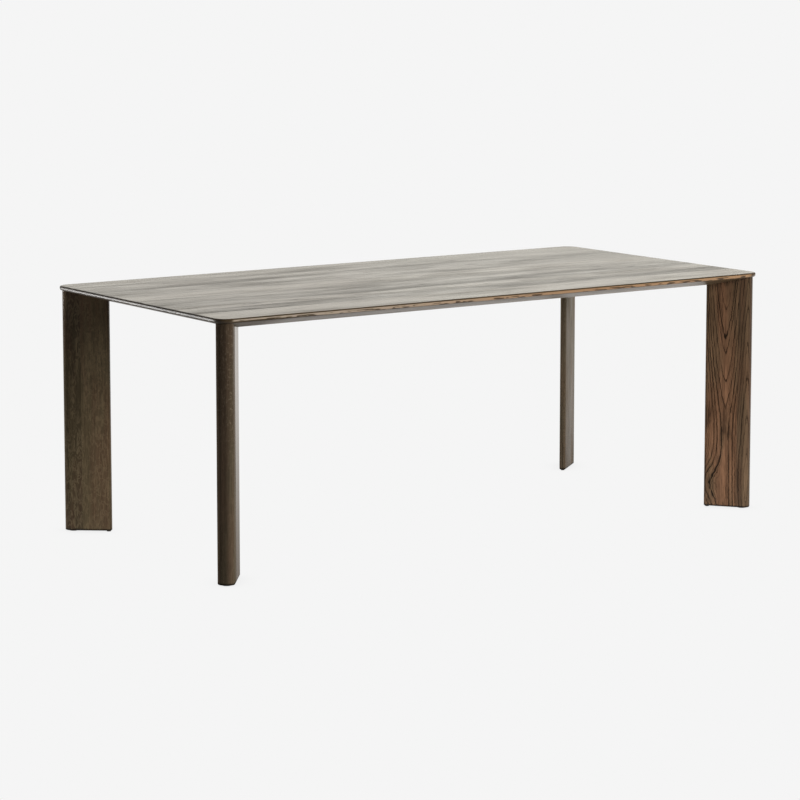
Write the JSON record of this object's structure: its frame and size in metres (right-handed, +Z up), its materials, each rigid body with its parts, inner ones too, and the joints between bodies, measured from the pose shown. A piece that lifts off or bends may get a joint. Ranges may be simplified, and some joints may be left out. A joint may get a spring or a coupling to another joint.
{
  "type": "dining table",
  "caption": "Long rectangular oak dining table with a thin bevelled top, rounded corners and tapered corner legs set on the diagonal.",
  "frame": {"origin": "on the floor, under the middle of the top", "axes": "+X along the table's length, +Y across its width, +Z up"},
  "size_m": [2, 0.98, 0.76],
  "materials": {
    "oak_top": "dark stain, satin varnish",
    "oak_leg": "dark stain, satin varnish",
    "black_steel": "black powder coat",
    "zinc_steel": "zinc plated",
    "brass_insert": "plain",
    "glide_plastic": "matte"
  },
  "bodies": {
    "root": {"glide_nails_back_left": "zinc_steel", "glide_nails_back_right": "zinc_steel", "glide_nails_front_left": "zinc_steel", "glide_nails_front_right": "zinc_steel", "inner_glide_back_left": "glide_plastic", "inner_glide_back_right": "glide_plastic", "inner_glide_front_left": "glide_plastic", "inner_glide_front_right": "glide_plastic", "leg_back_left": "oak_leg", "leg_back_right": "oak_leg", "leg_front_left": "oak_leg", "leg_front_right": "oak_leg", "leg_plate_back_left": "black_steel", "leg_plate_back_right": "black_steel", "leg_plate_front_left": "black_steel", "leg_plate_front_right": "black_steel", "leg_screws_back_left": "zinc_steel", "leg_screws_back_right": "zinc_steel", "leg_screws_front_left": "zinc_steel", "leg_screws_front_right": "zinc_steel", "outer_glide_back_left": "glide_plastic", "outer_glide_back_right": "glide_plastic", "outer_glide_front_left": "glide_plastic", "outer_glide_front_right": "glide_plastic", "plate_bolts_back_left": "zinc_steel", "plate_bolts_back_right": "zinc_steel", "plate_bolts_front_left": "zinc_steel", "plate_bolts_front_right": "zinc_steel", "plate_washers_back_left": "zinc_steel", "plate_washers_back_right": "zinc_steel", "plate_washers_front_left": "zinc_steel", "plate_washers_front_right": "zinc_steel", "stiffener_channel_1": "black_steel", "stiffener_channel_2": "black_steel", "stiffener_channel_3": "black_steel", "stiffener_screws_1": "zinc_steel", "stiffener_screws_2": "zinc_steel", "stiffener_screws_3": "zinc_steel", "top_inserts_back_left": "brass_insert", "top_inserts_back_right": "brass_insert", "top_inserts_front_left": "brass_insert", "top_inserts_front_right": "brass_insert", "top_stave_01": "oak_top", "top_stave_02": "oak_top", "top_stave_03": "oak_top", "top_stave_04": "oak_top", "top_stave_05": "oak_top", "top_stave_06": "oak_top", "top_stave_07": "oak_top", "top_stave_08": "oak_top", "top_stave_09": "oak_top", "top_stave_10": "oak_top"}
  },
  "joints": []
}
